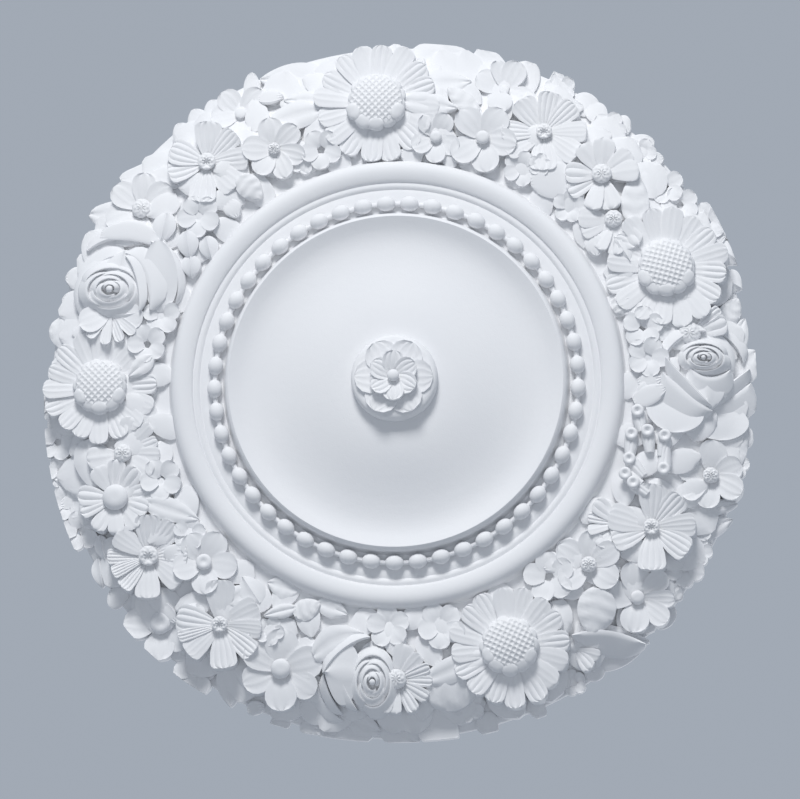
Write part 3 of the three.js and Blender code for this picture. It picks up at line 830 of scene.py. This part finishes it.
def boss_round(inner, outer, width, height, turn):
    """Six petals laid flat on the boss."""
    for number in range(BOSS_PETALS):
        points, wall = petal(RIBBED_TONGUE, inner, outer, width, "round", 1.0)
        angle = math.radians(turn + number * 360 / BOSS_PETALS)
        x = points[:, 0] * math.cos(angle) - points[:, 1] * math.sin(angle)
        y = points[:, 0] * math.sin(angle) + points[:, 1] * math.cos(angle)
        z = height + points[:, 2]
        z[wall] = BOSS_ROOT
        centre.append(press(RIBBED_TONGUE, np.column_stack([x, y, z])))


boss_round(4, 39, 34, 90, 0)
boss_round(2, 25, 22, 97, 30)
bud = points_of(KNOB) * np.array(BUD_SIZE) + np.array([0, 0, BUD_HEIGHT])
centre.append(press(KNOB, bud))
turned_centre = join("turned_centre", centre)
print("the centre has", triangles(turned_centre), "triangles")

# %% [markdown]
# ## Turning the casting over
# The blanks have done their work and are put away. The three pieces are turned face down and
# brought to metres. Some of the formulas leave a blank's faces turned inward, so the normals are
# made consistent afterwards. Edges sharper than the facet angle stay crisp, as a mould leaves them,
# and the rest is shaded smooth.

# %% Turn the casting over
tongues = [RIBBED_TONGUE, STRAP_TONGUE, SMALL_TONGUE, LEAF_TONGUE, FOLD_TONGUE, FILLER_TONGUE]
for blank in (*tongues, HEAD_BLANK, KNOB, BERRY, bead_master):
    bpy.data.objects.remove(blank)

FACET_ANGLE = math.radians(48)
for piece in (turned_centre, wreath_blooms, wreath_leaves):
    piece.data.vertices.foreach_set("co", hang(points_of(piece)).ravel())
    deselect()
    piece.select_set(True)
    bpy.context.view_layer.objects.active = piece
    bpy.ops.object.mode_set(mode="EDIT")
    bpy.ops.mesh.select_all(action="SELECT")
    bpy.ops.mesh.normals_make_consistent(inside=False)
    bpy.ops.object.mode_set(mode="OBJECT")
    bpy.ops.object.shade_smooth_by_angle(angle=FACET_ANGLE)
    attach(piece, "root")
    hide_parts("ceiling_rose")
    print(piece.name, "is", round(float(np.ptp(points_of(piece)[:, 0])) * 1000), "mm across")

# %% [markdown]
# ## Plaster
# Fresh casting plaster is matte and a cool white. Its face carries a fine tooth, a few pinholes
# from air in the mix and a very faint clouding. A flat white would look like plastic. These are
# noises on Object coordinates, so the finish is at its real scale and needs no picture. A small
# class wraps a node socket so that the shader's sums can be written as sums.

# %% Shader maths
class Value:
    """A number that changes over the surface, with Python's own signs for its sums."""

    def __init__(self, tree, socket):
        self.tree = tree
        self.socket = socket

    def made(self, operation, *inputs):
        """The result of one Math node."""
        node = node_of(self.tree, "ShaderNodeMath", {"operation": operation, "use_clamp": False}, inputs)
        return Value(self.tree, node.outputs[0])

    def __add__(self, other):
        return self.made("ADD", self, other)

    __radd__ = __add__

    def __mul__(self, other):
        return self.made("MULTIPLY", self, other)

    __rmul__ = __mul__

    def __sub__(self, other):
        return self.made("SUBTRACT", self, other)

    def __rsub__(self, other):
        return self.made("SUBTRACT", other, self)


def node_of(tree, kind, settings=None, inputs=()):
    """Adds a node: its settings first, then the values or links of its sockets."""
    node = tree.nodes.new(kind)
    for name, value in (settings or {}).items():
        setattr(node, name, value)
    pairs = inputs.items() if isinstance(inputs, dict) else enumerate(inputs)
    for name, value in pairs:
        if isinstance(value, Value):
            tree.links.new(value.socket, node.inputs[name])
        else:
            node.inputs[name].default_value = value
    return node


# %% The plaster itself
# Features along a metre: a slow clouding, marks of the tool, the tooth and the pinholes
CLOUD_SCALE = 9
TOOL_SCALE = 160
TOOTH_SCALE = 900
PINHOLE_SCALE = 210
PINHOLE_EDGE = (0.05, 0.12)
SMOOTHEST = 0.78
ROUGHNESS_SPREAD = 0.12
RELIEF_STRENGTH = 0.25
RELIEF_DEPTH = 0.0006
DARKER_WHITE = (0.80, 0.808, 0.83, 1)
LIGHTER_WHITE = (0.86, 0.862, 0.87, 1)


def plaster():
    """Matte white casting plaster."""
    material = bpy.data.materials.new("plaster")
    material.use_nodes = True
    tree = material.node_tree
    tree.nodes.clear()
    place = Value(tree, node_of(tree, "ShaderNodeTexCoord").outputs["Object"])

    def noise(scale, detail):
        made = node_of(tree, "ShaderNodeTexNoise", {}, {"Vector": place, "Scale": scale, "Detail": detail})
        return Value(tree, made.outputs[0])

    cloud = noise(CLOUD_SCALE, 3)
    tooth = noise(TOOTH_SCALE, 2)
    tool = noise(TOOL_SCALE, 2)
    pits = node_of(tree, "ShaderNodeTexVoronoi", {"feature": "F1"}, {"Vector": place, "Scale": PINHOLE_SCALE})
    spot = node_of(
        tree, "ShaderNodeMapRange", {"clamp": True},
        {
            "Value": Value(tree, pits.outputs["Distance"]),
            "From Min": PINHOLE_EDGE[0], "From Max": PINHOLE_EDGE[1],
        },
    )
    pinhole = 1 - Value(tree, spot.outputs[0])
    tone = node_of(
        tree, "ShaderNodeMix", {"data_type": "RGBA"},
        {0: cloud, 6: DARKER_WHITE, 7: LIGHTER_WHITE},
    )
    roughness = SMOOTHEST + ROUGHNESS_SPREAD * tooth
    relief = 0.5 * tooth + 0.8 * tool - 0.6 * pinhole
    bump = node_of(
        tree, "ShaderNodeBump", {},
        {"Strength": RELIEF_STRENGTH, "Distance": RELIEF_DEPTH, "Height": relief},
    )
    shader = node_of(
        tree, "ShaderNodeBsdfPrincipled", {},
        {
            "Base Color": Value(tree, tone.outputs[2]),
            "Roughness": roughness,
            "Normal": Value(tree, bump.outputs[0]),
            "IOR": 1.45,
        },
    )
    output = node_of(tree, "ShaderNodeOutputMaterial")
    tree.links.new(shader.outputs[0], output.inputs["Surface"])
    return material


PLASTER = plaster()
for piece in (turned_centre, wreath_blooms, wreath_leaves):
    piece.data.materials.clear()
    piece.data.materials.append(PLASTER)
print("the plaster is made of", len(PLASTER.node_tree.nodes), "nodes")

# %% [markdown]
# ## Studio
# The rose hangs face down, so the camera looks up at it from below, a few degrees off square and
# from far away, as through a long lens. A broad soft light comes from the picture's top, another
# from the far side lights the back, and a pale world fills the rest. Raking light from one side is
# what brings out low relief; light from the front alone would flatten it.

# %% Camera
PIXELS_ACROSS = 800
METRES_PER_PIXEL = 0.001
CAMERA_DISTANCE = 8.0
SENSOR_WIDTH = 36.0
FAR_CLIP = 100
LOOK_AT = Vector((0, 0.0077, 0))
TOWARD_CAMERA = Vector((0.072, 0.171, -1)).normalized()
PICTURE_UP = Vector((-0.009, -1, 0))

camera_data = bpy.data.cameras.new("camera")
camera = bpy.data.objects.new("camera", camera_data)
bpy.context.scene.collection.objects.link(camera)
camera_data.sensor_width = SENSOR_WIDTH
camera_data.lens = SENSOR_WIDTH * CAMERA_DISTANCE / (PIXELS_ACROSS * METRES_PER_PIXEL)
camera_data.clip_end = FAR_CLIP
camera.location = LOOK_AT + TOWARD_CAMERA * CAMERA_DISTANCE


def aim(item, target, up):
    """Turns a camera or light to look at the target, with its top toward up."""
    backward = (item.location - target).normalized()
    right = up.cross(backward).normalized()
    top = backward.cross(right)
    rotation = np.array([right, top, backward]).T
    item.rotation_euler = Matrix(rotation.tolist()).to_euler()


aim(camera, LOOK_AT, PICTURE_UP)
bpy.context.scene.camera = camera
print("the lens is", round(camera_data.lens), "mm long at", CAMERA_DISTANCE, "m")

# %% Lights and floor
# Name, place in metres, side of the square in metres and power in watts
LIGHTS = [
    ("key_light", (-0.5, -5.3, -4.7), 2.0, 370),
    ("fill_light", (0.6, 2.4, -7.0), 4.0, 25),
    ("back_light", (0.8, 1.0, 3.0), 3.0, 60),
]
WORLD_COLOUR = (0.36, 0.40, 0.46, 1)
FLOOR_COLOUR = (0.8, 0.8, 0.8, 1)
FLOOR_SIZE = 60
FLOOR_HEIGHT = -9


def soft_light(name, place, size, power):
    """A square area light that looks at the rose."""
    data = bpy.data.lights.new(name, "AREA")
    data.size = size
    data.energy = power
    light = bpy.data.objects.new(name, data)
    bpy.context.scene.collection.objects.link(light)
    light.location = place
    aim(light, Vector((0, 0, 0)), Vector((1, 0, 0)))


for row in LIGHTS:
    soft_light(*row)
bpy.context.scene.view_settings.view_transform = "Standard"

world = bpy.data.worlds.new("world")
world.use_nodes = True
world.node_tree.nodes["Background"].inputs["Color"].default_value = WORLD_COLOUR
world.node_tree.nodes["Background"].inputs["Strength"].default_value = 1.0
bpy.context.scene.world = world

deselect()
bpy.ops.mesh.primitive_plane_add(size=FLOOR_SIZE, location=(0, 0, FLOOR_HEIGHT))
floor = bpy.context.object
floor.name = "floor"
floor_material = bpy.data.materials.new("floor")
floor_material.use_nodes = True
floor_material.node_tree.nodes["Principled BSDF"].inputs["Base Color"].default_value = FLOOR_COLOUR
floor.data.materials.append(floor_material)
print(len(LIGHTS), "lights and the floor are set")
